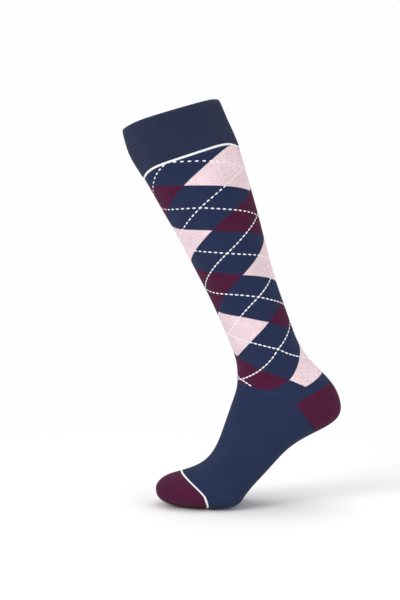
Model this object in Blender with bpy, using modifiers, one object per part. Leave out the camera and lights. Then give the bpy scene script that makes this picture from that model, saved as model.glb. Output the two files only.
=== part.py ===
# A knee-high riding sock, worn to shape on tiptoe and seen from its side.
# The toe points along -X, the heel along +X, and the leg leans a little towards the toe.
# The origin is the centre of the mouth of the cuff. Units are metres.

import bpy
import numpy as np

# Named sizes
STAND_HEIGHT = 0.459      # sole to the top of the rim, as the sock stands
PROFILE_LENGTH = 0.245    # front of the rim to the back of the heel, from the side
CALF_WIDTH = 0.103        # widest across the cuff, from side to side
LEG_WALL = 0.0016         # knit of the leg and foot
CAP_WALL = 0.0020         # reinforced knit of heel and toe
CUFF_WALL = 0.0024        # folded double knit of the cuff
CUFF_STRIPE_HEIGHT = 0.0026
TOE_STRIPE_HEIGHT = 0.0023
SEAM_GAP = 0.0003         # kept between neighbouring pieces
RIB_COUNT = 84            # raised ribs around the cuff
RIB_HEIGHT = 0.0005
RIM_ROLL = 0.0009         # how far the top edge rolls inward
ROLL_DEPTH = 0.0024       # how far below the edge that roll starts

COLUMNS = 48              # faces around the leg and the foot
GORE_COLUMN = 13          # column where the heel pocket ends on each side
STRIPE_COLUMNS = 84

# One row for each section across the sock, from the cuff to the toe.
# front_x, front_z, back_x, back_z: the ends of the section in the middle plane, as shares of
# PROFILE_LENGTH (from the front of the rim) and STAND_HEIGHT (from the sole).
# width: share of CALF_WIDTH. widest: where the section is widest, 0 at its front, 1 at its back.
# front_square, back_square: 2 is an ellipse, more is squarer.
SECTIONS = [
    # name        front_x front_z back_x back_z width widest front_square back_square
    ("rim",       0.000, 0.932, 0.433, 1.000, 0.98, 0.50, 2.0, 2.0),
    ("cuff",      0.036, 0.863, 0.484, 0.937, 1.00, 0.50, 2.0, 2.0),
    ("stripe",    0.099, 0.806, 0.528, 0.882, 0.98, 0.50, 2.0, 2.0),
    ("calf_1",    0.182, 0.729, 0.576, 0.798, 0.94, 0.50, 2.0, 2.0),
    ("calf_2",    0.261, 0.656, 0.619, 0.717, 0.87, 0.50, 2.0, 2.0),
    ("calf_3",    0.334, 0.582, 0.659, 0.634, 0.79, 0.50, 2.0, 2.0),
    ("shin_1",    0.406, 0.507, 0.704, 0.551, 0.72, 0.50, 2.0, 2.0),
    ("shin_2",    0.469, 0.432, 0.757, 0.470, 0.66, 0.50, 2.0, 2.0),
    ("ankle_1",   0.515, 0.369, 0.812, 0.397, 0.64, 0.50, 2.0, 2.0),
    ("ankle_2",   0.526, 0.329, 0.887, 0.346, 0.64, 0.49, 2.0, 2.0),
    ("heel_top",  0.525, 0.303, 0.964, 0.301, 0.65, 0.50, 2.0, 2.2),
    ("heel_tip",  0.519, 0.285, 1.000, 0.249, 0.65, 0.52, 2.0, 2.3),
    ("heel_low",  0.509, 0.268, 0.970, 0.213, 0.66, 0.54, 2.0, 2.3),
    ("arch_1",    0.490, 0.238, 0.879, 0.184, 0.68, 0.56, 2.0, 2.2),
    ("arch_2",    0.461, 0.193, 0.769, 0.149, 0.71, 0.58, 2.0, 2.2),
    ("arch_3",    0.430, 0.151, 0.671, 0.096, 0.76, 0.60, 2.0, 2.3),
    ("ball_1",    0.390, 0.120, 0.571, 0.037, 0.81, 0.62, 2.0, 2.4),
    ("ball_2",    0.339, 0.101, 0.499, 0.006, 0.84, 0.62, 1.9, 2.8),
    ("toe_1",     0.273, 0.088, 0.340, 0.005, 0.82, 0.60, 1.8, 2.5),
    ("toe_2",     0.213, 0.078, 0.297, 0.003, 0.72, 0.56, 2.0, 2.3),
    ("toe_3",     0.168, 0.063, 0.195, 0.0125, 0.50, 0.52, 2.0, 2.2),
    ("toe_tip",   0.152, 0.039, 0.152, 0.039, 0.00, 0.52, 2.0, 2.2),
]

# Where the knitting changes from one piece to the next, counted in rows of SECTIONS from the rim.
# A cut lies at front, side and back, and the two sharpness values say how tightly it bends there.
CUTS = {
    # name:          front  side   back  front_sharp back_sharp
    "rim":          (0.14, 0.03, 0.09, 4.7, 14.0),
    "cuff_stripe":  (2.03,  1.76,  2.05,  6.0, 8.0),
    "ankle":        (9.60, 10.20,  9.32,  6.0, 1.5),
    "toe_stripe":   (18.05, 17.47, 17.75, 1.5, 1.1),
}
GORE_ROW = 11.05          # row where the heel pocket's corners lie
HEEL_TOP_ROW = 9.80       # upper edge of the pocket at the back
HEEL_LOW_ROW = 12.95      # lower edge of the pocket at the back
POCKET_ROUND = 0.7        # below 1 rounds the pocket's edges outward

COLOURS = {
    "navy": (0.024, 0.036, 0.085),
    "burgundy": (0.081, 0.014, 0.046),
    "white": (0.880, 0.880, 0.930),
}


def section_table():
    # the table in metres, closed past the toe by the last section turned over, which rounds the tip
    rows = []
    for name, fx, fz, bx, bz, width, widest, fs, bs in SECTIONS:
        rows.append([fx * PROFILE_LENGTH, fz * STAND_HEIGHT, bx * PROFILE_LENGTH, bz * STAND_HEIGHT,
                     width * CALF_WIDTH / 2, widest, fs, bs])
    last = rows[-2]
    rows.append([last[2], last[3], last[0], last[1], -last[4], 1 - last[5], last[7], last[6]])
    table = np.array(rows)
    mouth = (table[0, 0:2] + table[0, 2:4]) / 2
    table[:, 0] -= mouth[0]
    table[:, 2] -= mouth[0]
    table[:, 1] -= mouth[1]
    table[:, 3] -= mouth[1]
    return table


def spline_bends(table):
    # second differences of a natural cubic spline through the rows
    count = len(table)
    left = np.eye(count)
    right = np.zeros_like(table)
    for i in range(1, count - 1):
        left[i, i - 1:i + 2] = (1, 4, 1)
        right[i] = 6 * (table[i - 1] - 2 * table[i] + table[i + 1])
    return np.linalg.solve(left, right)


TABLE = section_table()
BENDS = spline_bends(TABLE)
LAST_ROW = len(SECTIONS) - 1
ANGLES = np.linspace(0, 2 * np.pi, 289)


def section_at(row):
    i = int(min(max(np.floor(row), 0), len(TABLE) - 2))
    t = row - i
    a = 1 - t
    return a * TABLE[i] + t * TABLE[i + 1] + (a**3 - a) / 6 * BENDS[i] + (t**3 - t) / 6 * BENDS[i + 1]


def ring(row):
    # the outline of one section, from its front round by the -Y side to its back and on
    fx, fz, bx, bz, half, widest, fs, bs = section_at(row)
    c = np.cos(ANGLES)
    s = np.sin(ANGLES)
    power = 2 / np.where(c > 0, fs, bs)
    cc = np.sign(c) * np.abs(c) ** power
    ss = np.sign(s) * np.abs(s) ** power
    along = (1 - cc) / 2
    along = along + (widest - 0.5) * 4 * along * (1 - along)
    points = np.stack([fx + (bx - fx) * along, -half * ss, fz + (bz - fz) * along], axis=1)
    steps = np.linalg.norm(np.diff(points, axis=0), axis=1)
    length = np.concatenate([[0], np.cumsum(steps)])
    return points, length


def skin(row, around):
    # a point of the outer skin: around is a share of the way round, 0 and 1 at the front
    points, length = ring(row)
    if length[-1] < 1e-7:
        return points[0].copy()
    where = (around % 1.0) * length[-1]
    return np.array([np.interp(where, length, points[:, k]) for k in range(3)])


def step_row(row, around, distance):
    # the row that lies this distance further along the sock
    d = 0.02
    size = np.linalg.norm(skin(row + d, around) - skin(row - d, around)) / (2 * d)
    return row + distance / size


def cut_row(name, around):
    front, side, back, front_sharp, back_sharp = CUTS[name]
    c = np.cos(2 * np.pi * around)
    near_front = max(c, 0.0) ** front_sharp
    near_back = max(-c, 0.0) ** back_sharp
    return side + (front - side) * near_front + (back - side) * near_back


def edge_row(name, around, distance):
    return step_row(cut_row(name, around), around, distance)


def pocket_rows(column):
    # upper and lower edge of the heel pocket at a column, fractions of a column included
    def at(k):
        share = (k - GORE_COLUMN) / (COLUMNS / 2 - GORE_COLUMN)
        share = min(max(share if k <= COLUMNS / 2 else 2 - share, 0.0), 1.0)
        bulge = np.sin(np.pi / 2 * share) ** POCKET_ROUND
        return np.array([GORE_ROW + (HEEL_TOP_ROW - GORE_ROW) * bulge,
                         GORE_ROW + (HEEL_LOW_ROW - GORE_ROW) * bulge])
    low = int(np.floor(column))
    part = column - low
    return at(low) * (1 - part) + at(low + 1) * part


def new_material(name, colour):
    material = bpy.data.materials.new(name)
    material.use_nodes = True
    shader = material.node_tree.nodes["Principled BSDF"]
    shader.inputs["Base Color"].default_value = (*colour, 1.0)
    shader.inputs["Roughness"].default_value = 0.9
    shader.inputs["Metallic"].default_value = 0.0
    return material


def add_shell(name, points, faces, wall, material, collection):
    # an open surface with its faces outward, thickened inward
    mesh = bpy.data.meshes.new(name)
    mesh.from_pydata([tuple(p) for p in points], [], faces)
    mesh.materials.append(material)
    mesh.shade_smooth()
    obj = bpy.data.objects.new(name, mesh)
    collection.objects.link(obj)
    solid = obj.modifiers.new("Solidify", "SOLIDIFY")
    solid.thickness = wall
    solid.offset = -1.0
    solid.use_rim = True
    return obj


def ring_grid(row_of, shares, columns, inset=None):
    # points of a closed tube: row_of(share, around) gives the row, share runs from 0 to 1
    points = []
    for share in shares:
        for k in range(columns):
            around = k / columns
            p = skin(row_of(share, around), around)
            if inset is not None:
                p = inset(p, share, k, around, row_of)
            points.append(p)
    return points


def tube_faces(ring_total, columns):
    faces = []
    for i in range(ring_total - 1):
        for k in range(columns):
            n = (k + 1) % columns
            faces.append((i * columns + k, (i + 1) * columns + k, (i + 1) * columns + n, i * columns + n))
    return faces


def outward(row, around):
    # unit vector away from the middle of the section, inside its own plane
    d = 0.004
    along = skin(row, around + d) - skin(row, around - d)
    down = skin(row + 0.05, around) - skin(row - 0.05, around)
    n = np.cross(down, along)
    return n / np.linalg.norm(n)


def build_tube(name, top, low, inner_rings, columns, wall, material, collection, first=0.0015):
    # a tube between two cuts, with a short first and last strip so that its edges stand square
    def row_of(share, around):
        a = edge_row(top[0], around, top[1])
        b = edge_row(low[0], around, low[1])
        return a + (b - a) * share
    around = 0.25
    a = skin(row_of(0.0, around), around)
    b = skin(row_of(1.0, around), around)
    strip = first / np.linalg.norm(b - a)
    if inner_rings:
        shares = [0.0, strip, *[strip + (1 - 2 * strip) * (i + 1) / (inner_rings + 1) for i in range(inner_rings)],
                  1 - strip, 1.0]
    else:
        shares = [0.0, 1.0]
    points = ring_grid(row_of, shares, columns)
    return add_shell(name, points, tube_faces(len(shares), columns), wall, material, collection)


def build_cuff(material, collection):
    columns = RIB_COUNT * 2

    def row_of(share, around):
        a = cut_row("rim", around)
        b = edge_row("cuff_stripe", around, -(CUFF_STRIPE_HEIGHT + SEAM_GAP) / 2)
        return a + (b - a) * share

    around = 0.25
    length = np.linalg.norm(skin(row_of(1.0, around), around) - skin(row_of(0.0, around), around))
    roll = ROLL_DEPTH / length
    shares = [0.0, roll, 0.36, 0.68, 1.0]

    def inset(p, share, k, a, rows):
        n = outward(max(rows(share, a), 0.06), a)
        if share == 0.0:
            return p - n * RIM_ROLL
        return p + n * (RIB_HEIGHT if k % 2 == 0 else 0.0)

    points = ring_grid(row_of, shares, columns, inset)
    return add_shell("cuff", points, tube_faces(len(shares), columns), CUFF_WALL, material, collection)


def build_foot(material, collection):
    # two grids that share their front columns and part around the heel pocket
    first = GORE_COLUMN
    last = COLUMNS - GORE_COLUMN
    gap = SEAM_GAP / 2
    points = []
    index = {}

    def add(key, row, around):
        index[key] = len(points)
        points.append(skin(row, around))

    upper_shares = (0.0, 0.12, 0.55, 1.0)
    lower_shares = (0.0, 0.06, 0.18, 0.30, 0.43, 0.56, 0.69, 0.82, 0.96, 1.0)
    for i, share in enumerate(upper_shares):
        for k in range(COLUMNS):
            around = k / COLUMNS
            a = edge_row("ankle", around, gap)
            b = pocket_rows(k)[0] if first <= k <= last else GORE_ROW
            add(("upper", i, k), a + (b - a) * share, around)
    top = len(upper_shares) - 1
    for i, share in enumerate(lower_shares):
        for k in range(COLUMNS):
            if i == 0 and not first < k < last:
                index[("lower", i, k)] = index[("upper", top, k)]
                continue
            around = k / COLUMNS
            a = pocket_rows(k)[1] if first <= k <= last else GORE_ROW
            b = edge_row("toe_stripe", around, -(TOE_STRIPE_HEIGHT + SEAM_GAP) / 2)
            add(("lower", i, k), a + (b - a) * share, around)
    faces = []
    for part, total in (("upper", len(upper_shares)), ("lower", len(lower_shares))):
        for i in range(total - 1):
            for k in range(COLUMNS):
                n = (k + 1) % COLUMNS
                faces.append((index[(part, i, k)], index[(part, i + 1, k)],
                              index[(part, i + 1, n)], index[(part, i, n)]))
    return add_shell("foot", points, faces, LEG_WALL, material, collection)


def build_heel(material, collection):
    # the pocket fills the lens between the two edges, a seam gap smaller all round
    first = GORE_COLUMN
    last = COLUMNS - GORE_COLUMN
    tip = 0.32
    columns = [first + tip, *range(first + 1, last), last - tip]
    shares = (0.0, 0.06, 0.2, 0.35, 0.5, 0.65, 0.8, 0.94, 1.0)
    points = []
    for share in shares:
        for k in columns:
            around = k / COLUMNS
            upper, lower = pocket_rows(k)
            slant = 1.0 + 0.9 * (1.0 - np.sin(np.pi * (k - first) / (last - first)))
            a = step_row(upper, around, SEAM_GAP * slant)
            b = step_row(lower, around, -SEAM_GAP * slant)
            points.append(skin(a + (b - a) * share, around))
    faces = []
    width = len(columns)
    for i in range(len(shares) - 1):
        for k in range(width - 1):
            faces.append((i * width + k, (i + 1) * width + k, (i + 1) * width + k + 1, i * width + k + 1))
    return add_shell("heel", points, faces, CAP_WALL, material, collection)


def build_toe(material, collection):
    # rings down to a point at the tip of the toes
    shares = (0.0, 0.05, 0.24, 0.44, 0.62, 0.78, 0.91)
    points = []
    for share in shares:
        for k in range(COLUMNS):
            around = k / COLUMNS
            a = edge_row("toe_stripe", around, (TOE_STRIPE_HEIGHT + SEAM_GAP) / 2)
            points.append(skin(a + (LAST_ROW - a) * share, around))
    faces = tube_faces(len(shares), COLUMNS)
    tip = len(points)
    points.append(skin(LAST_ROW, 0.0))
    start = (len(shares) - 1) * COLUMNS
    for k in range(COLUMNS):
        faces.append((start + k, tip, start + (k + 1) % COLUMNS))
    return add_shell("toe_cap", points, faces, CAP_WALL, material, collection)


def main():
    for obj in list(bpy.data.objects):
        bpy.data.objects.remove(obj, do_unlink=True)
    collection = bpy.data.collections.new("riding_sock")
    bpy.context.scene.collection.children.link(collection)
    navy = new_material("navy_knit", COLOURS["navy"])
    burgundy = new_material("burgundy_knit", COLOURS["burgundy"])
    white = new_material("white_knit", COLOURS["white"])
    high = (CUFF_STRIPE_HEIGHT - SEAM_GAP) / 2
    low = (TOE_STRIPE_HEIGHT - SEAM_GAP) / 2
    build_cuff(navy, collection)
    build_tube("cuff_stripe", ("cuff_stripe", -high), ("cuff_stripe", high), 0, STRIPE_COLUMNS,
               LEG_WALL, white, collection)
    build_tube("leg", ("cuff_stripe", (CUFF_STRIPE_HEIGHT + SEAM_GAP) / 2), ("ankle", -SEAM_GAP / 2), 10,
               COLUMNS, LEG_WALL, navy, collection)
    build_foot(navy, collection)
    build_heel(burgundy, collection)
    build_tube("toe_stripe", ("toe_stripe", -low), ("toe_stripe", low), 0, COLUMNS,
               LEG_WALL, white, collection)
    build_toe(burgundy, collection)


main()
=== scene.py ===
# A knee-high riding sock, standing on the ball of the foot as if a leg were in it.
# Knitted pieces with their own stitches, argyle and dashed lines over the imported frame.

import math

import bpy
import numpy as np
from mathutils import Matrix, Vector


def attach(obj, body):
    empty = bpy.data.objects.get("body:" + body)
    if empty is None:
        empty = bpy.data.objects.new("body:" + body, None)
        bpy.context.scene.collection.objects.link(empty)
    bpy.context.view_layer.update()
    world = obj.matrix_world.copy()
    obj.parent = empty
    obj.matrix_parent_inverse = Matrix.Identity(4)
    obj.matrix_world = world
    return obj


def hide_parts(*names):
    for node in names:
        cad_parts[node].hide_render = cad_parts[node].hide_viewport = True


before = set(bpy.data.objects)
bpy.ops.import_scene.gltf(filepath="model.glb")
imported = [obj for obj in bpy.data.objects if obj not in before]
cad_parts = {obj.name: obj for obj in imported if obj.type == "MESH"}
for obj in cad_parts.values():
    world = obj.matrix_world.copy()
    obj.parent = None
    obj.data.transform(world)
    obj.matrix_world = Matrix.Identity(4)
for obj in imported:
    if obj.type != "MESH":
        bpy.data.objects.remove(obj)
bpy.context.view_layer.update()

# ---- the sock's shape, as in the frame ----

sockShape = {
    "standHeight": 0.459,
    "profileLength": 0.245,
    "calfWidth": 0.103,
    "goreRow": 11.05,
    "heelTopRow": 9.80,
    "heelLowRow": 12.95,
    "pocketRound": 0.7,
    "goreAround": 13 / 48,
    # front x, front z, back x, back z, width, widest, front squareness, back squareness
    "sections": [
        (0.000, 0.932, 0.433, 1.000, 0.98, 0.50, 2.0, 2.0),
        (0.036, 0.863, 0.484, 0.937, 1.00, 0.50, 2.0, 2.0),
        (0.099, 0.806, 0.528, 0.882, 0.98, 0.50, 2.0, 2.0),
        (0.182, 0.729, 0.576, 0.798, 0.94, 0.50, 2.0, 2.0),
        (0.261, 0.656, 0.619, 0.717, 0.87, 0.50, 2.0, 2.0),
        (0.334, 0.582, 0.659, 0.634, 0.79, 0.50, 2.0, 2.0),
        (0.406, 0.507, 0.704, 0.551, 0.72, 0.50, 2.0, 2.0),
        (0.469, 0.432, 0.757, 0.470, 0.66, 0.50, 2.0, 2.0),
        (0.515, 0.369, 0.812, 0.397, 0.64, 0.50, 2.0, 2.0),
        (0.526, 0.329, 0.887, 0.346, 0.64, 0.49, 2.0, 2.0),
        (0.525, 0.303, 0.964, 0.301, 0.65, 0.50, 2.0, 2.2),
        (0.519, 0.285, 1.000, 0.249, 0.65, 0.52, 2.0, 2.3),
        (0.509, 0.268, 0.970, 0.213, 0.66, 0.54, 2.0, 2.3),
        (0.490, 0.238, 0.879, 0.184, 0.68, 0.56, 2.0, 2.2),
        (0.461, 0.193, 0.769, 0.149, 0.71, 0.58, 2.0, 2.2),
        (0.430, 0.151, 0.671, 0.096, 0.76, 0.60, 2.0, 2.3),
        (0.390, 0.120, 0.571, 0.037, 0.81, 0.62, 2.0, 2.4),
        (0.339, 0.101, 0.499, 0.006, 0.84, 0.62, 1.9, 2.8),
        (0.273, 0.088, 0.340, 0.005, 0.82, 0.60, 1.8, 2.5),
        (0.213, 0.078, 0.297, 0.003, 0.72, 0.56, 2.0, 2.3),
        (0.168, 0.063, 0.195, 0.0125, 0.50, 0.52, 2.0, 2.2),
        (0.152, 0.039, 0.152, 0.039, 0.00, 0.52, 2.0, 2.2),
    ],
    # where one piece ends and the next starts: front, side, back, sharpness at front and back
    "cuts": {
        "rim": (0.14, 0.03, 0.09, 4.7, 14.0),
        "cuffStripe": (2.03, 1.76, 2.05, 6.0, 8.0),
        "ankle": (9.60, 10.20, 9.32, 6.0, 1.5),
        "toeStripe": (18.05, 17.47, 17.75, 1.5, 1.1),
    },
}


def sectionTable():
    wide, tall = sockShape["profileLength"], sockShape["standHeight"]
    rows = [[fx * wide, fz * tall, bx * wide, bz * tall, w * sockShape["calfWidth"] / 2, widest, fs, bs]
            for fx, fz, bx, bz, w, widest, fs, bs in sockShape["sections"]]
    fx, fz, bx, bz, half, widest, fs, bs = rows[-2]
    rows.append([bx, bz, fx, fz, -half, 1 - widest, bs, fs])  # turned over, to round the tip
    table = np.array(rows)
    mouth = (table[0, 0:2] + table[0, 2:4]) / 2
    table[:, [0, 1]] -= mouth
    table[:, [2, 3]] -= mouth
    return table


def splineRows(table, rows):
    count = len(table)
    left, right = np.eye(count), np.zeros_like(table)
    for i in range(1, count - 1):
        left[i, i - 1:i + 2] = (1, 4, 1)
        right[i] = 6 * (table[i - 1] - 2 * table[i] + table[i + 1])
    bends = np.linalg.solve(left, right)
    i = np.clip(np.floor(rows).astype(int), 0, count - 2)
    t = (rows - i)[:, None]
    a = 1 - t
    return a * table[i] + t * table[i + 1] + (a**3 - a) / 6 * bends[i] + (t**3 - t) / 6 * bends[i + 1]


rowsPerSection = 24
aroundSteps = 512
lastRow = len(sockShape["sections"]) - 1


def buildSkin():
    # points and outward normals on a fine lattice of (row, share of the way round)
    rows = np.arange(lastRow * rowsPerSection + 1) / rowsPerSection
    angles = np.linspace(0, 2 * np.pi, 1025)
    c, s = np.cos(angles), np.sin(angles)
    points = np.empty((len(rows), aroundSteps + 1, 3))
    for i, (fx, fz, bx, bz, half, widest, fs, bs) in enumerate(splineRows(sectionTable(), rows)):
        power = 2 / np.where(c > 0, fs, bs)
        along = (1 - np.sign(c) * np.abs(c) ** power) / 2
        along = along + (widest - 0.5) * 4 * along * (1 - along)
        side = -half * np.sign(s) * np.abs(s) ** power
        ring = np.stack([fx + (bx - fx) * along, side, fz + (bz - fz) * along], axis=1)
        length = np.concatenate([[0], np.cumsum(np.linalg.norm(np.diff(ring, axis=0), axis=1))])
        if length[-1] < 1e-7:
            points[i] = ring[0]
            continue
        where = np.linspace(0, length[-1], aroundSteps + 1)
        for k in range(3):
            points[i, :, k] = np.interp(where, length, ring[:, k])
    down = np.gradient(points, axis=0)
    wrapped = np.concatenate([points[:, -2:-1], points, points[:, 1:2]], axis=1)
    along = (wrapped[:, 2:] - wrapped[:, :-2]) / 2
    normals = np.cross(down, along)
    size = np.linalg.norm(normals, axis=2, keepdims=True)
    normals = normals / np.maximum(size, 1e-12)
    normals[-1] = normals[-2].mean(axis=0) / np.linalg.norm(normals[-2].mean(axis=0))
    return points, normals


skinPoints, skinNormals = buildSkin()


def lookUp(lattice, row, around):
    r = np.clip(np.asarray(row, float) * rowsPerSection, 0, lattice.shape[0] - 1.000001)
    a = (np.asarray(around, float) % 1.0) * aroundSteps
    i, j = np.floor(r).astype(int), np.floor(a).astype(int)
    t, u = (r - i)[..., None], (a - j)[..., None]
    return ((lattice[i, j] * (1 - u) + lattice[i, j + 1] * u) * (1 - t)
            + (lattice[i + 1, j] * (1 - u) + lattice[i + 1, j + 1] * u) * t)


def skin(row, around):
    return lookUp(skinPoints, row, around)


def outward(row, around):
    n = lookUp(skinNormals, row, around)
    return n / np.maximum(np.linalg.norm(n, axis=-1, keepdims=True), 1e-9)


def rowLength(row, around):
    # metres of cloth for one row, along the sock
    d = 0.03
    return np.linalg.norm(skin(row + d, around) - skin(row - d, around), axis=-1) / (2 * d)


def cutRow(name, around, shift=0.0):
    front, side, back, frontSharp, backSharp = sockShape["cuts"][name]
    c = np.cos(2 * np.pi * np.asarray(around, float))
    row = (side + (front - side) * np.maximum(c, 0) ** frontSharp
           + (back - side) * np.maximum(-c, 0) ** backSharp)
    return row + shift / rowLength(row, around)


def pocketEdges(around):
    # upper and lower edge of the heel pocket, which meet at its corners
    gore = sockShape["goreAround"]
    share = np.clip((np.minimum(around, 1 - around) - gore) / (0.5 - gore), 0, 1)
    bulge = np.sin(np.pi / 2 * share) ** sockShape["pocketRound"]
    start = sockShape["goreRow"]
    return (start + (sockShape["heelTopRow"] - start) * bulge,
            start + (sockShape["heelLowRow"] - start) * bulge)


# ---- where each stitch lies ----

knitCount = {
    "wales": 168,              # stitches around
    "diamondWales": 84,        # stitches across a diamond
    "diamondCourses": 84,      # rows of stitches down a diamond
    "courseHeight": 0.00070,   # a row of stitches in the foot, metres
    "waleWidth": 0.0019,       # a stitch across, in the dashes
    # diamonds from the stripe down, and the row that they reach at front, side and back
    "courses": [
        (0.00, 2.03, 1.76, 2.05, 6.0, 8.0),
        (0.50, 2.80, 2.57, 2.62, 3.0, 4.0),
        (1.00, 3.42, 3.25, 3.27, 2.0, 2.0),
        (1.50, 4.13, 4.00, 4.00, 2.0, 2.0),
        (2.00, 4.80, 4.74, 4.66, 2.0, 2.0),
        (2.50, 5.60, 5.47, 5.42, 2.0, 2.0),
        (3.00, 6.37, 6.18, 6.18, 2.0, 2.0),
        (3.50, 7.10, 6.99, 6.88, 2.0, 2.0),
        (4.00, 7.95, 7.88, 7.73, 2.0, 2.0),
        (4.50, 9.40, 9.52, 8.72, 3.0, 2.0),
        (4.67, 9.60, 10.20, 9.32, 6.0, 1.5),
    ],
    # diamonds from the stripe down, the share of the way round of one line of stitches, and how
    # much closer the stitches lie on the near side: the pattern turns as it goes down
    "turn": [
        (0.00, 0.180, -0.010),
        (0.50, 0.197, 0.000),
        (1.00, 0.216, 0.045),
        (1.50, 0.222, 0.050),
        (2.00, 0.244, 0.020),
        (2.50, 0.275, 0.010),
        (3.00, 0.307, 0.000),
        (3.50, 0.311, 0.010),
        (4.00, 0.307, 0.025),
        (4.50, 0.279, 0.085),
        (4.67, 0.252, 0.135),
    ],
}


def courseRows(around):
    table = np.array(knitCount["courses"])
    c = np.cos(2 * np.pi * np.asarray(around, float))[None]
    front, side, back, frontSharp, backSharp = (table[:, k:k + 1] for k in range(1, 6))
    return (side + (front - side) * np.maximum(c, 0) ** frontSharp
            + (back - side) * np.maximum(-c, 0) ** backSharp)


def diamondDown(row, around):
    # how many diamonds below the stripe a point of the leg lies
    shape = np.shape(row)
    row, around = np.ravel(row), np.ravel(around)
    rows, steps = courseRows(around), np.array(knitCount["courses"])[:, 0]
    out = np.empty(len(row))
    for i in range(len(steps) - 1):
        a, b = rows[i], rows[i + 1]
        inside = (row >= a) if i else np.ones(len(row), bool)
        out[inside] = (steps[i] + (steps[i + 1] - steps[i]) * (row - a) / (b - a))[inside]
    return out.reshape(shape)


def turnAt(down):
    steps, turns, near = np.array(knitCount["turn"]).T
    return np.interp(down, steps, turns), np.interp(down, steps, near)


def quartersAround(around, down):
    start, near = turnAt(down)
    return 4 * (around - start) + near * (
        np.sin(2 * np.pi * (around - 0.25)) - np.sin(2 * np.pi * (start - 0.25)))


def legStitch(row, around):
    down = diamondDown(row, around)
    quarter = quartersAround(around, down)
    return quarter * knitCount["diamondWales"] / 2, down * knitCount["diamondCourses"]


def legPlace(wale, down):
    # the other way: the row and share around of a stitch
    table = np.array(knitCount["courses"])
    quarter = wale / (knitCount["diamondWales"] / 2)
    around = turnAt(down)[0] + quarter / 4
    for _ in range(20):
        around = around + (quarter - quartersAround(around, down)) / 4
    rows = courseRows(around)
    row = np.array([np.interp(down[i], table[:, 0], rows[:, i]) for i in range(len(down))])
    return row, around % 1.0


sideLength = np.concatenate([[0], np.cumsum(np.linalg.norm(
    np.diff(skinPoints[:, aroundSteps // 4], axis=0), axis=1))])


def plainStitch(row, around):
    along = np.interp(np.asarray(row) * rowsPerSection, np.arange(len(sideLength)), sideLength)
    return around * knitCount["wales"], along / knitCount["courseHeight"]


# ---- shader groups ----


def newGroup(name, inputs, outputs):
    tree = bpy.data.node_groups.new(name, "ShaderNodeTree")
    for label, kind, value in inputs:
        socket = tree.interface.new_socket(label, in_out="INPUT", socket_type=kind)
        if value is not None:
            socket.default_value = value
    for label, kind in outputs:
        tree.interface.new_socket(label, in_out="OUTPUT", socket_type=kind)
    return tree, tree.nodes.new("NodeGroupInput"), tree.nodes.new("NodeGroupOutput")


class NodeMath:
    # small helper that writes node sums as plain calls
    def __init__(self, tree):
        self.tree = tree

    def do(self, operation, *values):
        node = self.tree.nodes.new("ShaderNodeMath")
        node.operation = operation
        for socket, value in zip(node.inputs, values):
            if isinstance(value, (int, float)):
                socket.default_value = value
            else:
                self.tree.links.new(value, socket)
        return node.outputs[0]

    def add(self, a, b):
        return self.do("ADD", a, b)

    def sub(self, a, b):
        return self.do("SUBTRACT", a, b)

    def mul(self, a, b):
        return self.do("MULTIPLY", a, b)


def stitchGroup():
    # knitted V stitches: two slanting legs of yarn for each wale and course
    tree, source, sink = newGroup(
        "knitStitch",
        [("Knit UV", "NodeSocketVector", None), ("Slant", "NodeSocketFloat", 0.75),
         ("Gap", "NodeSocketFloat", 0.6)],
        [("Height", "NodeSocketFloat"), ("Stitch", "NodeSocketVector"), ("Random", "NodeSocketFloat")])
    m, link = NodeMath(tree), tree.links.new
    split = tree.nodes.new("ShaderNodeSeparateXYZ")
    link(source.outputs["Knit UV"], split.inputs[0])
    u, v = split.outputs[0], split.outputs[1]
    fromMiddle = m.mul(m.do("ABSOLUTE", m.sub(m.do("FRACT", u), 0.5)), 2.0)
    slanted = m.add(v, m.mul(fromMiddle, source.outputs["Slant"]))
    acrossLeg = m.mul(m.do("ABSOLUTE", m.sub(fromMiddle, 0.5)), 2.0)
    alongLeg = m.mul(m.do("ABSOLUTE", m.sub(m.do("FRACT", slanted), 0.5)), 2.0)
    rounded = m.do("SQRT", m.do("MAXIMUM", m.sub(1.0, m.mul(acrossLeg, acrossLeg)), 0.0))
    dip = m.mul(m.do("POWER", alongLeg, 3.0), source.outputs["Gap"])
    link(m.mul(rounded, m.sub(1.0, dip)), sink.inputs["Height"])
    cell = tree.nodes.new("ShaderNodeCombineXYZ")
    link(m.add(m.do("FLOOR", u), 0.5), cell.inputs[0])
    link(m.add(m.do("FLOOR", slanted), 0.5), cell.inputs[1])
    link(cell.outputs[0], sink.inputs["Stitch"])
    noise = tree.nodes.new("ShaderNodeTexWhiteNoise")
    noise.noise_dimensions = "2D"
    link(cell.outputs[0], noise.inputs["Vector"])
    link(noise.outputs["Value"], sink.inputs["Random"])
    return tree


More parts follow.
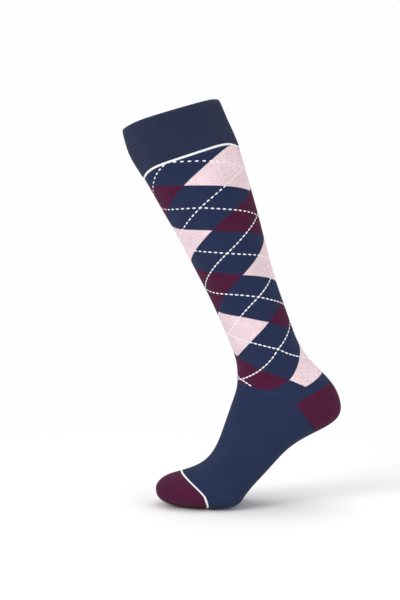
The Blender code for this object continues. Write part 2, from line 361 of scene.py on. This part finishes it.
def argyleGroup():
    # colour of each stitch: a ground, with a column of alternating diamonds on two sides
    tree, source, sink = newGroup(
        "argyleColour",
        [("Stitch", "NodeSocketVector", None), ("Diamond Wales", "NodeSocketFloat", 84.0),
         ("Diamond Courses", "NodeSocketFloat", 84.0), ("Ground", "NodeSocketColor", (0, 0, 0, 1)),
         ("Dark Diamond", "NodeSocketColor", (0, 0, 0, 1)),
         ("Pale Diamond", "NodeSocketColor", (1, 1, 1, 1))],
        [("Color", "NodeSocketColor"), ("Pale", "NodeSocketFloat")])
    m, link = NodeMath(tree), tree.links.new
    split = tree.nodes.new("ShaderNodeSeparateXYZ")
    link(source.outputs["Stitch"], split.inputs[0])
    across = m.do("DIVIDE", split.outputs[0], source.outputs["Diamond Wales"])
    down = m.do("DIVIDE", split.outputs[1], source.outputs["Diamond Courses"])
    i = m.do("FLOOR", m.add(m.add(down, across), 0.5))
    j = m.do("FLOOR", m.add(m.sub(down, across), 0.5))
    column = m.sub(i, j)
    diamond = m.do("FLOORED_MODULO", column, 2.0)
    nearColumn = m.do("COMPARE", m.do("FLOORED_MODULO", column, 4.0), 1.0)
    nearColumn.node.inputs[2].default_value = 0.5
    index = m.do("FLOOR", m.mul(m.add(i, j), 0.5))
    pale = m.do("FLOORED_MODULO", m.add(index, nearColumn), 2.0)
    colour = tree.nodes.new("ShaderNodeMix")
    colour.data_type = "RGBA"
    link(pale, colour.inputs["Factor"])
    link(source.outputs["Dark Diamond"], colour.inputs["A"])
    link(source.outputs["Pale Diamond"], colour.inputs["B"])
    ground = tree.nodes.new("ShaderNodeMix")
    ground.data_type = "RGBA"
    link(diamond, ground.inputs["Factor"])
    link(source.outputs["Ground"], ground.inputs["A"])
    link(colour.outputs["Result"], ground.inputs["B"])
    link(ground.outputs["Result"], sink.inputs["Color"])
    link(m.mul(pale, diamond), sink.inputs["Pale"])
    return tree


def yarnGroup():
    # heathered yarn: fine fibre speckle and a slow drift of tone, with painted shade that darkens the
    # colour between the stitches
    tree, source, sink = newGroup(
        "yarnShade",
        [("Color", "NodeSocketColor", (1, 1, 1, 1)), ("Height", "NodeSocketFloat", 1.0),
         ("Random", "NodeSocketFloat", 0.5), ("Painted Shade", "NodeSocketFloat", 0.5),
         ("Heather", "NodeSocketFloat", 0.25), ("Fibre Scale", "NodeSocketFloat", 1500.0)],
        [("Color", "NodeSocketColor"), ("Fuzz", "NodeSocketFloat")])
    m, link = NodeMath(tree), tree.links.new
    place = tree.nodes.new("ShaderNodeTexCoord")
    fibre = tree.nodes.new("ShaderNodeTexNoise")
    fibre.inputs["Detail"].default_value = 3.0
    fibre.inputs["Roughness"].default_value = 0.65
    link(place.outputs["Object"], fibre.inputs["Vector"])
    link(source.outputs["Fibre Scale"], fibre.inputs["Scale"])
    drift = tree.nodes.new("ShaderNodeTexNoise")
    drift.inputs["Scale"].default_value = 38.0
    drift.inputs["Detail"].default_value = 2.0
    link(place.outputs["Object"], drift.inputs["Vector"])
    speckle = m.add(m.sub(fibre.outputs["Fac"], 0.5), m.mul(m.sub(source.outputs["Random"], 0.5), 0.35))
    shade = m.add(m.mul(speckle, source.outputs["Heather"]),
                  m.mul(m.sub(drift.outputs["Fac"], 0.5), m.mul(source.outputs["Heather"], 0.6)))
    # painted shade: the colour is darkened where the stitch height is low, in the hollows between the
    # stitches
    paintedShadeDepth = m.mul(m.sub(1.0, source.outputs["Height"]), source.outputs["Painted Shade"])
    factor = m.mul(m.add(1.0, shade), m.sub(1.0, paintedShadeDepth))
    scale = tree.nodes.new("ShaderNodeVectorMath")
    scale.operation = "SCALE"
    link(source.outputs["Color"], scale.inputs[0])
    link(factor, scale.inputs["Scale"])
    link(scale.outputs[0], sink.inputs["Color"])
    link(fibre.outputs["Fac"], sink.inputs["Fuzz"])
    return tree


stitchTree, argyleTree, yarnTree = stitchGroup(), argyleGroup(), yarnGroup()
print("shader groups ready")

# ---- materials ----

yarnColours = {
    "navy": (0.0190, 0.0300, 0.0800),
    "navyCuff": (0.0215, 0.0290, 0.0680),
    "burgundy": (0.0770, 0.0090, 0.0390),
    "pink": (0.9200, 0.7200, 0.7600),
    "white": (0.9300, 0.9300, 0.9600),
    "inside": (0.0300, 0.0320, 0.0600),
}


# the yarn colour is darkened between the stitches by painted shade, of a strength set for each material
def knitMaterial(name, colour, argyle=False, slant=0.75, gap=0.6, paintedShade=0.35, heather=0.6,
                 stitchDepth=0.00022, fuzzDepth=0.00006, sheen=0.03, scale=900.0):
    material = bpy.data.materials.new(name)
    material.use_nodes = True
    tree = material.node_tree
    link, nodes = tree.links.new, tree.nodes
    shader = nodes["Principled BSDF"]
    uvMap = nodes.new("ShaderNodeUVMap")
    uvMap.uv_map = "knit"
    stitch = nodes.new("ShaderNodeGroup")
    stitch.node_tree = stitchTree
    stitch.inputs["Slant"].default_value = slant
    stitch.inputs["Gap"].default_value = gap
    link(uvMap.outputs["UV"], stitch.inputs["Knit UV"])
    yarn = nodes.new("ShaderNodeGroup")
    yarn.node_tree = yarnTree
    yarn.inputs["Painted Shade"].default_value = paintedShade
    yarn.inputs["Heather"].default_value = heather
    yarn.inputs["Fibre Scale"].default_value = scale
    link(stitch.outputs["Height"], yarn.inputs["Height"])
    link(stitch.outputs["Random"], yarn.inputs["Random"])
    if argyle:
        pattern = nodes.new("ShaderNodeGroup")
        pattern.node_tree = argyleTree
        pattern.inputs["Diamond Wales"].default_value = knitCount["diamondWales"]
        pattern.inputs["Diamond Courses"].default_value = knitCount["diamondCourses"]
        pattern.inputs["Ground"].default_value = (*yarnColours["navy"], 1)
        pattern.inputs["Dark Diamond"].default_value = (*yarnColours["burgundy"], 1)
        pattern.inputs["Pale Diamond"].default_value = (*yarnColours["pink"], 1)
        link(stitch.outputs["Stitch"], pattern.inputs["Stitch"])
        link(pattern.outputs["Color"], yarn.inputs["Color"])
    else:
        yarn.inputs["Color"].default_value = (*colour, 1)
    link(yarn.outputs["Color"], shader.inputs["Base Color"])
    shader.inputs["Roughness"].default_value = 0.92
    shader.inputs["Specular IOR Level"].default_value = 0.12
    shader.inputs["Sheen Weight"].default_value = sheen
    shader.inputs["Sheen Roughness"].default_value = 0.45
    fuzz = nodes.new("ShaderNodeBump")
    fuzz.inputs["Strength"].default_value = 0.6
    fuzz.inputs["Distance"].default_value = fuzzDepth
    link(yarn.outputs["Fuzz"], fuzz.inputs["Height"])
    bump = nodes.new("ShaderNodeBump")
    bump.inputs["Strength"].default_value = 0.8
    bump.inputs["Distance"].default_value = stitchDepth
    link(stitch.outputs["Height"], bump.inputs["Height"])
    link(fuzz.outputs["Normal"], bump.inputs["Normal"])
    link(bump.outputs["Normal"], shader.inputs["Normal"])
    return material


materials = {
    "cuff": knitMaterial("navyRibKnit", yarnColours["navyCuff"], stitchDepth=0.00015, sheen=0.12),
    "leg": knitMaterial("argyleKnit", None, argyle=True),
    "foot": knitMaterial("navyKnit", yarnColours["navy"]),
    "cap": knitMaterial("burgundyKnit", yarnColours["burgundy"], heather=0.7),
    "stripe": knitMaterial("whiteKnit", yarnColours["white"], paintedShade=0.15, heather=0.08),
    "inside": knitMaterial("insideKnit", yarnColours["inside"], slant=-0.5, paintedShade=0.6, heather=0.5),
    "dash": knitMaterial("whiteStitching", yarnColours["white"], paintedShade=0.15, heather=0.08),
}
print("materials ready")

# ---- knitted surfaces ----


def meshFromGrid(name, points, faces, uvs, slots, mats):
    mesh = bpy.data.meshes.new(name)
    mesh.from_pydata(points.tolist(), [], faces)
    layer = mesh.uv_layers.new(name="knit")
    flat = np.asarray([uv for face in uvs for uv in face], dtype=np.float32)
    layer.data.foreach_set("uv", flat.ravel())
    for mat in mats:
        mesh.materials.append(mat)
    mesh.polygons.foreach_set("material_index", np.asarray(slots, dtype=np.int32))
    mesh.shade_smooth()
    mesh.update()
    obj = bpy.data.objects.new(name, mesh)
    bpy.context.scene.collection.objects.link(obj)
    return obj


def wallPath(outerSteps, innerSteps, wall, rimRoll):
    # once round a wall: down outside, round the lower edge, up inside and over the upper edge.
    # each step has its share of the way down, its depth under the skin and its height over the cut
    rollSteps = 8
    path = [(share, 0.0, 0.0) for share in np.linspace(0, 1, outerSteps + 1)]
    path += [(share, wall, 0.0) for share in np.linspace(1, 0, innerSteps + 1)]
    if rimRoll:
        for angle in np.linspace(0, math.pi, rollSteps)[1:-1]:
            path.append((0.0, (wall + math.cos(angle) * wall) / 2, math.sin(angle) * rimRoll))
    return path


def knitTube(name, top, low, columns, outerSteps, innerSteps, wall, stitchAt, lift, mats, rimRoll=0.0):
    # a tube between two cuts. lift(share, row, around) is how far the knit stands proud
    around = np.arange(columns) / columns
    topRow, lowRow = top(around), low(around)
    path = wallPath(outerSteps, innerSteps, wall, rimRoll)
    count = len(path)
    points = np.empty((count, columns, 3))
    knit = np.empty((count, columns, 2))
    for i, (share, depth, height) in enumerate(path):
        row = topRow + (lowRow - topRow) * share
        n = outward(np.maximum(row, 0.02), around)
        p = skin(row, around)
        if i <= outerSteps:
            p = p + n * lift(share, row, around)[:, None]
        else:
            p = p - n * depth
        if height:
            up = skin(row, around) - skin(row + 0.05, around)
            p = p + up / np.linalg.norm(up, axis=1, keepdims=True) * height
        points[i] = p
        u, v = stitchAt(row, around)
        knit[i] = np.stack([u, v], axis=1)
    wrap = np.stack(stitchAt(topRow[:1], np.array([1.0])), axis=1)[0, 0] - knit[0, 0, 0]
    faces, uvs, slots = [], [], []
    for i in range(count):
        n = (i + 1) % count
        inside = outerSteps < i < outerSteps + innerSteps + 1
        for k in range(columns):
            j = (k + 1) % columns
            faces.append((i * columns + k, n * columns + k, n * columns + j, i * columns + j))
            ahead = np.array([wrap, 0.0]) if j == 0 else 0.0
            uvs.append((knit[i, k], knit[n, k], knit[n, j] + ahead, knit[i, j] + ahead))
            slots.append(1 if inside else 0)
    return meshFromGrid(name, points.reshape(-1, 3), faces, uvs, slots, mats)


def openGrid(row, around, stitchAt, lift):
    # points and stitches of an open sheet on the skin
    points = skin(row, around) + outward(row, around) * lift[..., None]
    u, v = stitchAt(row, around)
    return points, np.stack([u, v], axis=-1)


def finishWall(obj, wall):
    # gives an open sheet its wall, inwards, with closed edges
    solid = obj.modifiers.new("wall", "SOLIDIFY")
    solid.thickness = wall
    solid.offset = -1.0
    solid.material_offset = 1
    solid.use_rim = True
    bpy.context.view_layer.update()
    mesh = bpy.data.meshes.new_from_object(obj.evaluated_get(bpy.context.evaluated_depsgraph_get()))
    obj.modifiers.clear()
    old = obj.data
    obj.data = mesh
    bpy.data.meshes.remove(old)
    mesh.name = obj.name
    return obj


def noLift(share, row, around):
    return np.zeros_like(around)


# ---- cuff: folded rib knit with a rolled rim ----

cuffKnit = {
    "ribs": 84,
    "facesPerRib": 8,
    "ribHeight": 0.00080,
    "outerSteps": 34,
    "innerSteps": 12,
    "wall": 0.0024,
    "rimRoll": 0.0012,
    "rimDrop": 0.0010,       # the wall starts this far below the cut, under its roll
    "plainEdge": 0.045,      # share of the cuff where the ribs fade out at the rim
    "plainLow": 0.03,        # and above the white stripe
    "plainHeight": 0.35,     # how proud the knit stands there, as a share of a rib
    "stripeHeight": 0.0026,  # of the white stripe between the cuff and the leg
}


def ribLift(share, row, around):
    ridge = 0.5 + 0.5 * np.cos(2 * np.pi * around * cuffKnit["ribs"])
    fade = min(1.0, share / cuffKnit["plainEdge"]) * min(1.0, (1 - share) / cuffKnit["plainLow"])
    return cuffKnit["ribHeight"] * (ridge ** 0.8 * fade + cuffKnit["plainHeight"] * (1 - fade))


halfStripe = cuffKnit["stripeHeight"] / 2
cuff = knitTube("cuffKnit", lambda a: cutRow("rim", a, cuffKnit["rimDrop"]),
                lambda a: cutRow("cuffStripe", a, -halfStripe),
                cuffKnit["ribs"] * cuffKnit["facesPerRib"], cuffKnit["outerSteps"], cuffKnit["innerSteps"],
                cuffKnit["wall"], plainStitch, ribLift, [materials["cuff"], materials["inside"]],
                rimRoll=cuffKnit["rimRoll"])
print("cuff knitted")

# ---- white stripes ----

stripeKnit = {"columns": 672, "outerSteps": 10, "innerSteps": 2, "proud": 0.0005,
              "toeHeight": 0.0023, "wall": 0.0016}


def stripeLift(share, row, around):
    stitch = 0.5 + 0.5 * np.cos(2 * np.pi * (around * knitCount["wales"]))
    return stripeKnit["proud"] * np.sin(math.pi * share) ** 0.6 * (0.8 + 0.2 * stitch)


def whiteStripe(name, cut, height):
    return knitTube(name, lambda a: cutRow(cut, a, -height / 2), lambda a: cutRow(cut, a, height / 2),
                    stripeKnit["columns"], stripeKnit["outerSteps"], stripeKnit["innerSteps"],
                    stripeKnit["wall"], plainStitch, stripeLift, [materials["stripe"], materials["inside"]])


cuffStripe = whiteStripe("cuffStripeKnit", "cuffStripe", cuffKnit["stripeHeight"])
toeStripe = whiteStripe("toeStripeKnit", "toeStripe", stripeKnit["toeHeight"])
print("stripes knitted")

# ---- leg ----

legKnit = {"columns": 288, "outerSteps": 200, "innerSteps": 30, "wall": 0.0016}

leg = knitTube("legKnit", lambda a: cutRow("cuffStripe", a, halfStripe), lambda a: cutRow("ankle", a),
               legKnit["columns"], legKnit["outerSteps"], legKnit["innerSteps"], legKnit["wall"],
               legStitch, noLift, [materials["leg"], materials["inside"]])
print("leg knitted")

# ---- foot: ankle band, instep and sole around the heel pocket ----

footKnit = {"columns": 192, "upperSteps": 24, "lowerSteps": 130, "wall": 0.0016}


def buildFoot():
    columns = footKnit["columns"]
    gore = round(sockShape["goreAround"] * columns)
    k = np.arange(columns + 1)
    around = k / columns
    top, low = pocketEdges(around)
    ankle, toe = cutRow("ankle", around), cutRow("toeStripe", around, -stripeKnit["toeHeight"] / 2)
    points, knit, index = [], [], {}

    def addRows(part, start, end, steps):
        for i in range(steps + 1):
            row = start + (end - start) * i / steps
            p, uv = openGrid(row, around, plainStitch, np.zeros(columns + 1))
            for c in range(columns + 1):
                index[(part, i, c)] = len(points)
                points.append(p[c])
                knit.append(uv[c])

    addRows("upper", ankle, top, footKnit["upperSteps"])
    addRows("lower", low, toe, footKnit["lowerSteps"])
    joined = {}
    for c in range(columns + 1):
        if c <= gore or c >= columns - gore:
            joined[index[("lower", 0, c)]] = index[("upper", footKnit["upperSteps"], c)]
    faces, uvs = [], []
    for part, steps in (("upper", footKnit["upperSteps"]), ("lower", footKnit["lowerSteps"])):
        for i in range(steps):
            for c in range(columns):
                corners = [(part, i, c), (part, i + 1, c), (part, i + 1, c + 1), (part, i, c + 1)]
                ids = []
                for part_, i_, c_ in corners:
                    v = index[(part_, i_, c_ % columns)]
                    ids.append(joined.get(v, v))
                faces.append(tuple(ids))
                uvs.append([knit[index[key]] for key in corners])
    used = sorted({v for face in faces for v in face})
    renumber = {v: i for i, v in enumerate(used)}
    faces = [tuple(renumber[v] for v in face) for face in faces]
    obj = meshFromGrid("footKnit", np.array(points)[used], faces, uvs, [0] * len(faces),
                       [materials["foot"], materials["inside"]])
    return finishWall(obj, footKnit["wall"])


foot = buildFoot()
print("foot knitted")

# ---- heel pocket ----

heelKnit = {
    "columns": 120,
    "rows": 90,
    "wall": 0.0020,
    "proud": 0.0002,
    "sideGap": 0.0008,       # share of the way round kept free at each corner
    "edgeRise": 12,          # the pocket is proud from 1/12 of its rows inside its edges
}


def buildHeel():
    gore = sockShape["goreAround"]
    gap = heelKnit["sideGap"]
    around = np.linspace(gore + gap, 1 - gore - gap, heelKnit["columns"] + 1)
    top, low = pocketEdges(around)
    shares = np.linspace(0, 1, heelKnit["rows"] + 1)
    row = top[None] + (low - top)[None] * shares[:, None]
    full = np.broadcast_to(around[None], row.shape)
    edge = np.minimum(np.minimum(shares, 1 - shares)[:, None] * heelKnit["edgeRise"], 1.0)
    points, knit = openGrid(row, full, plainStitch, heelKnit["proud"] * edge * np.ones_like(row))
    width = heelKnit["columns"] + 1
    faces, uvs = [], []
    for i in range(heelKnit["rows"]):
        for k in range(heelKnit["columns"]):
            faces.append((i * width + k, (i + 1) * width + k, (i + 1) * width + k + 1, i * width + k + 1))
            uvs.append((knit[i, k], knit[i + 1, k], knit[i + 1, k + 1], knit[i, k + 1]))
    obj = meshFromGrid("heelKnit", points.reshape(-1, 3), faces, uvs, [0] * len(faces),
                       [materials["cap"], materials["inside"]])
    return finishWall(obj, heelKnit["wall"])


heel = buildHeel()
print("heel knitted")

# ---- toe cap ----

toeKnit = {
    "columns": 224,
    "rows": 90,
    "wall": 0.0020,
    "creaseDepth": 0.00035,
    "creaseStart": 18.5,     # row of a first crease
    "creaseStep": 0.42,      # rows from one to the next
    "creaseWidth": 0.16,     # as a share of that step
    "creaseMiddle": 18.9,    # row where they are deepest, and how many rows they reach
    "creaseReach": 0.65,
    "creaseAround": 0.27,    # share of the way round where they are deepest, and how far they run
    "creaseRun": 0.10,
}


def creaseLift(row, around):
    # soft creases under the toes, along the rows of stitches
    phase = (row - toeKnit["creaseStart"]) / toeKnit["creaseStep"]
    wave = -np.exp(-((phase - np.round(phase)) / toeKnit["creaseWidth"]) ** 2)
    near = np.exp(-((row - toeKnit["creaseMiddle"]) / toeKnit["creaseReach"]) ** 4)
    off = np.minimum(around, 1 - around) - toeKnit["creaseAround"]
    side = np.exp(-(off / toeKnit["creaseRun"]) ** 2)
    return toeKnit["creaseDepth"] * wave * near * side


def buildToe():
    columns = toeKnit["columns"]
    around = np.arange(columns + 1) / columns
    start = cutRow("toeStripe", around, stripeKnit["toeHeight"] / 2)
    shares = np.sin(np.linspace(0, math.pi / 2, toeKnit["rows"] + 1))[:-1]
    row = start[None] + (lastRow - start)[None] * shares[:, None]
    full = np.broadcast_to(around[None], row.shape)
    points, knit = openGrid(row, full, plainStitch, creaseLift(row, full))
    flat = points[:, :-1].reshape(-1, 3)
    tip = len(flat)
    flat = np.vstack([flat, skin(np.array([lastRow]), np.array([0.0]))])
    faces, uvs = [], []
    for i in range(len(shares) - 1):
        for k in range(columns):
            n = (k + 1) % columns
            faces.append((i * columns + k, (i + 1) * columns + k, (i + 1) * columns + n, i * columns + n))
            uvs.append((knit[i, k], knit[i + 1, k], knit[i + 1, k + 1], knit[i, k + 1]))
    last = len(shares) - 1
    end = plainStitch(np.array([lastRow]), np.array([0.0]))[1][0]
    for k in range(columns):
        n = (k + 1) % columns
        faces.append((last * columns + k, tip, last * columns + n))
        uvs.append((knit[last, k], (knit[last, k][0], end), knit[last, k + 1]))
    obj = meshFromGrid("toeKnit", flat, faces, uvs, [0] * len(faces),
                       [materials["cap"], materials["inside"]])
    return finishWall(obj, toeKnit["wall"])


toe = buildToe()
print("toe knitted")

# ---- dashed lines of raised stitches over the argyle ----

dashLine = {
    "dashesPerDiamond": 24,
    "length": 0.0050,
    "width": 0.0019,
    "height": 0.0008,
    "sunk": 0.0002,
    "segments": 8,
    "rings": 6,
    "lines": (-4, 10),         # the numbers of the lines that reach the leg
    "clearTop": 0.03,          # kept free below the stripe and above the ankle, in diamonds
    "clearLow": 0.02,
    "aimWales": 0.8,           # a dash points from this many wales before it to as many after
}


def dashPlaces():
    # each line runs one course down for each wale, so it crosses every diamond's middle
    wales, aim = knitCount["diamondWales"], dashLine["aimWales"]
    step = wales / dashLine["dashesPerDiamond"]
    table = np.array(knitCount["courses"])
    deepest = table[-1, 0]
    u = np.arange(2 * dashLine["dashesPerDiamond"]) * step
    found = []
    for slope in (1, -1):
        for line in range(*dashLine["lines"]):
            down = slope * u / wales + line
            for uu, dd in zip(u, down):
                if dashLine["clearTop"] < dd < deepest - dashLine["clearLow"]:
                    found.append((uu, dd, slope))
    u, down, slope = (np.array(x) for x in zip(*found))
    row, around = legPlace(u, down)
    rowA, aroundA = legPlace(u - aim, down - aim * slope / wales)
    rowB, aroundB = legPlace(u + aim, down + aim * slope / wales)
    points, normals = skin(row, around), outward(row, around)
    along = skin(rowB, aroundB) - skin(rowA, aroundA)
    return points, normals, along / np.linalg.norm(along, axis=1, keepdims=True)


def dashTree(material):
    tree = bpy.data.node_groups.new("dashedStitches", "GeometryNodeTree")
    face = tree.interface
    face.new_socket("Geometry", in_out="INPUT", socket_type="NodeSocketGeometry")
    for label, value in (("Length", dashLine["length"]), ("Width", dashLine["width"]),
                         ("Height", dashLine["height"])):
        socket = face.new_socket(label, in_out="INPUT", socket_type="NodeSocketFloat")
        socket.default_value = value
    face.new_socket("Segments", in_out="INPUT", socket_type="NodeSocketInt").default_value = (
        dashLine["segments"])
    face.new_socket("Geometry", in_out="OUTPUT", socket_type="NodeSocketGeometry")
    nodes, link = tree.nodes, tree.links.new
    source, sink = nodes.new("NodeGroupInput"), nodes.new("NodeGroupOutput")
    ball = nodes.new("GeometryNodeMeshUVSphere")
    ball.inputs["Rings"].default_value = dashLine["rings"]
    ball.inputs["Radius"].default_value = 0.5
    link(source.outputs["Segments"], ball.inputs["Segments"])
    size = nodes.new("ShaderNodeCombineXYZ")
    link(source.outputs["Length"], size.inputs[0])
    link(source.outputs["Width"], size.inputs[1])
    link(source.outputs["Height"], size.inputs[2])
    shaped = nodes.new("GeometryNodeTransform")
    link(ball.outputs["Mesh"], shaped.inputs["Geometry"])
    link(size.outputs[0], shaped.inputs["Scale"])
    outwardField = nodes.new("GeometryNodeInputNamedAttribute")
    outwardField.data_type = "FLOAT_VECTOR"
    outwardField.inputs["Name"].default_value = "outward"
    alongField = nodes.new("GeometryNodeInputNamedAttribute")
    alongField.data_type = "FLOAT_VECTOR"
    alongField.inputs["Name"].default_value = "along"
    upright = nodes.new("FunctionNodeAlignRotationToVector")
    upright.axis = "Z"
    link(outwardField.outputs["Attribute"], upright.inputs["Vector"])
    turned = nodes.new("FunctionNodeAlignRotationToVector")
    turned.axis = "X"
    turned.pivot_axis = "Z"
    link(upright.outputs["Rotation"], turned.inputs["Rotation"])
    link(alongField.outputs["Attribute"], turned.inputs["Vector"])
    dots = nodes.new("GeometryNodeMeshToPoints")
    link(source.outputs["Geometry"], dots.inputs["Mesh"])
    copies = nodes.new("GeometryNodeInstanceOnPoints")
    link(dots.outputs["Points"], copies.inputs["Points"])
    link(shaped.outputs["Geometry"], copies.inputs["Instance"])
    link(turned.outputs["Rotation"], copies.inputs["Rotation"])
    real = nodes.new("GeometryNodeRealizeInstances")
    link(copies.outputs["Instances"], real.inputs["Geometry"])
    paint = nodes.new("GeometryNodeSetMaterial")
    paint.inputs["Material"].default_value = material
    link(real.outputs["Geometry"], paint.inputs["Geometry"])
    link(paint.outputs["Geometry"], sink.inputs["Geometry"])
    return tree


def buildDashes():
    points, normals, along = dashPlaces()
    guide = bpy.data.meshes.new("dashGuide")
    guide.from_pydata((points - normals * dashLine["sunk"]).tolist(), [], [])
    for name, values in (("outward", normals), ("along", along)):
        layer = guide.attributes.new(name, "FLOAT_VECTOR", "POINT")
        layer.data.foreach_set("vector", values.astype(np.float32).ravel())
    holder = bpy.data.objects.new("dashGuide", guide)
    bpy.context.scene.collection.objects.link(holder)
    modifier = holder.modifiers.new("dashes", "NODES")
    modifier.node_group = dashTree(materials["dash"])
    sockets = {s.name: s.identifier for s in modifier.node_group.interface.items_tree
               if s.in_out == "INPUT"}
    modifier[sockets["Segments"]] = dashLine["segments"]
    bpy.context.view_layer.update()
    mesh = bpy.data.meshes.new_from_object(holder.evaluated_get(bpy.context.evaluated_depsgraph_get()))
    mesh.name = "dashedStitches"
    bpy.data.objects.remove(holder, do_unlink=True)
    count = len(mesh.vertices)
    place = np.empty(count * 3, np.float32)
    mesh.vertices.foreach_get("co", place)
    place = place.reshape(-1, 3)
    layer = mesh.uv_layers.get("knit") or mesh.uv_layers.new(name="knit")
    corner = np.empty(len(mesh.loops), np.int32)
    mesh.loops.foreach_get("vertex_index", corner)
    flat = np.stack([place[corner, 0] / knitCount["waleWidth"],
                     place[corner, 2] / knitCount["courseHeight"]], axis=1)
    layer.data.foreach_set("uv", flat.astype(np.float32).ravel())
    mesh.shade_smooth()
    obj = bpy.data.objects.new("dashedStitches", mesh)
    bpy.context.scene.collection.objects.link(obj)
    return obj


dashes = buildDashes()
print("dashes stitched:", len(dashes.data.polygons), "faces")

# ---- which body and node each piece belongs to ----

for piece, node in ((cuff, "cuff"), (cuffStripe, "cuff_stripe"), (leg, "leg"), (foot, "foot"),
                    (heel, "heel"), (toeStripe, "toe_stripe"), (toe, "toe_cap")):
    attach(piece, "root")
    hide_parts(node)
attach(dashes, "root")

# ---- floor, light and camera ----

studio = {
    "floorRadius": 3.0,
    "floorShift": 0.05,
    "fadeFrom": 0.22,
    "fadeTo": 0.70,
    "floorColour": (0.94, 0.94, 0.94),
    "backColour": (0.985, 0.988, 1.0),
    "skyLight": 0.74,
    "keyPower": 29.0,
    "keyPlace": (-1.5, -1.5, 0.9),
    "keySize": 1.1,
    "fillPower": 8.0,
    "fillPlace": (1.6, -1.2, 0.3),
    "fillSize": 1.2,
    "topPower": 8.0,
    "topPlace": (0.2, 0.4, 1.6),
    "topSize": 1.4,
    "aim": (0.06, 0.0, -0.22),
}


def buildFloor():
    low = float(skinPoints[..., 2].min())
    bpy.ops.mesh.primitive_circle_add(vertices=96, radius=studio["floorRadius"], fill_type="NGON",
                                      location=(0, 0, 0))
    floor = bpy.context.object
    floor.name = "floor"
    for vertex in floor.data.vertices:
        vertex.co.z = low
        vertex.co.x += studio["floorShift"]
    material = bpy.data.materials.new("paleFloor")
    material.use_nodes = True
    nodes, link = material.node_tree.nodes, material.node_tree.links.new
    shader = nodes["Principled BSDF"]
    shader.inputs["Base Color"].default_value = (*studio["floorColour"], 1)
    shader.inputs["Roughness"].default_value = 0.9
    place = nodes.new("ShaderNodeTexCoord")
    flatten = nodes.new("ShaderNodeVectorMath")
    flatten.operation = "MULTIPLY"
    flatten.inputs[1].default_value = (1, 1, 0)
    link(place.outputs["Object"], flatten.inputs[0])
    reach = nodes.new("ShaderNodeVectorMath")
    reach.operation = "LENGTH"
    link(flatten.outputs[0], reach.inputs[0])
    fade = nodes.new("ShaderNodeMapRange")
    fade.interpolation_type = "SMOOTHERSTEP"
    fade.inputs["From Min"].default_value = studio["fadeFrom"]
    fade.inputs["From Max"].default_value = studio["fadeTo"]
    fade.inputs["To Min"].default_value = 1.0
    fade.inputs["To Max"].default_value = 0.0
    link(reach.outputs["Value"], fade.inputs["Value"])
    link(fade.outputs["Result"], shader.inputs["Alpha"])
    floor.data.materials.append(material)


def buildWorld():
    world = bpy.data.worlds.new("studio")
    bpy.context.scene.world = world
    world.use_nodes = True
    nodes, link = world.node_tree.nodes, world.node_tree.links.new
    back = nodes["Background"]
    back.inputs["Color"].default_value = (*studio["backColour"], 1)
    rays = nodes.new("ShaderNodeLightPath")
    strength = nodes.new("ShaderNodeMapRange")
    strength.inputs["To Min"].default_value = studio["skyLight"]
    strength.inputs["To Max"].default_value = 1.0
    link(rays.outputs["Is Camera Ray"], strength.inputs["Value"])
    link(strength.outputs["Result"], back.inputs["Strength"])


def addSoftbox(name, power, place, size):
    data = bpy.data.lights.new(name, "AREA")
    data.energy = power
    data.size = size
    lamp = bpy.data.objects.new(name, data)
    lamp.location = place
    aim = Vector(studio["aim"]) - Vector(place)
    lamp.rotation_euler = aim.to_track_quat("-Z", "Y").to_euler()
    bpy.context.scene.collection.objects.link(lamp)


cameraSetup = {
    "place": (0.03384, -1.85, -0.04813),
    "pitchDown": 5.0,
    "lens": 99.6,
    "sensor": 36.0,
}


def buildCamera():
    data = bpy.data.cameras.new("camera")
    data.sensor_fit = "VERTICAL"
    data.sensor_height = cameraSetup["sensor"]
    data.lens = cameraSetup["lens"]
    data.clip_end = 20.0
    camera = bpy.data.objects.new("camera", data)
    camera.location = cameraSetup["place"]
    camera.rotation_euler = (math.radians(90 - cameraSetup["pitchDown"]), 0, 0)
    bpy.context.scene.collection.objects.link(camera)
    bpy.context.scene.camera = camera


buildFloor()
buildWorld()
addSoftbox("keyLight", studio["keyPower"], studio["keyPlace"], studio["keySize"])
addSoftbox("fillLight", studio["fillPower"], studio["fillPlace"], studio["fillSize"])
addSoftbox("topLight", studio["topPower"], studio["topPlace"], studio["topSize"])
buildCamera()
bpy.context.scene.view_settings.view_transform = "Standard"
print("studio ready")
